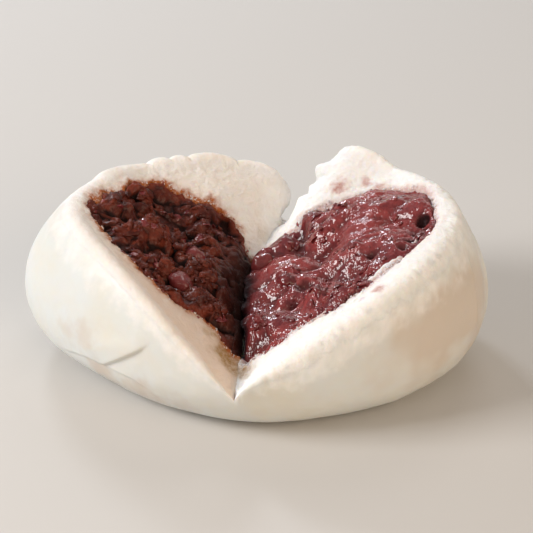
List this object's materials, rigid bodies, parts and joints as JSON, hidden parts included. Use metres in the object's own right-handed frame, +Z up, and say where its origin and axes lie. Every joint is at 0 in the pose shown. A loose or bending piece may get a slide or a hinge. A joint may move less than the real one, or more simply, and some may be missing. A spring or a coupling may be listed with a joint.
{
  "type": "red bean bun",
  "caption": "Steamed bun torn open from above, its halves still joined underneath, with coarse red bean paste showing on both torn faces.",
  "frame": {"origin": "middle of the flat underside that the bun rests on", "axes": "+Z up, +X from the left half to the right half across the tear, +Y from the low front lip of the tear to its back notch"},
  "size_m": [0.1205, 0.0918, 0.043],
  "materials": {
    "dough": "soft white steamed dough, smooth satin skin outside and fluffy where torn",
    "moist_paste": "moist maroon bean paste, lumpy and glossy",
    "dark_paste": "dark brown bean paste, coarse and half matt"
  },
  "bodies": {
    "root": {"dough": "dough", "bean_paste_right": "moist_paste", "bean_paste_left": "dark_paste"}
  },
  "joints": []
}
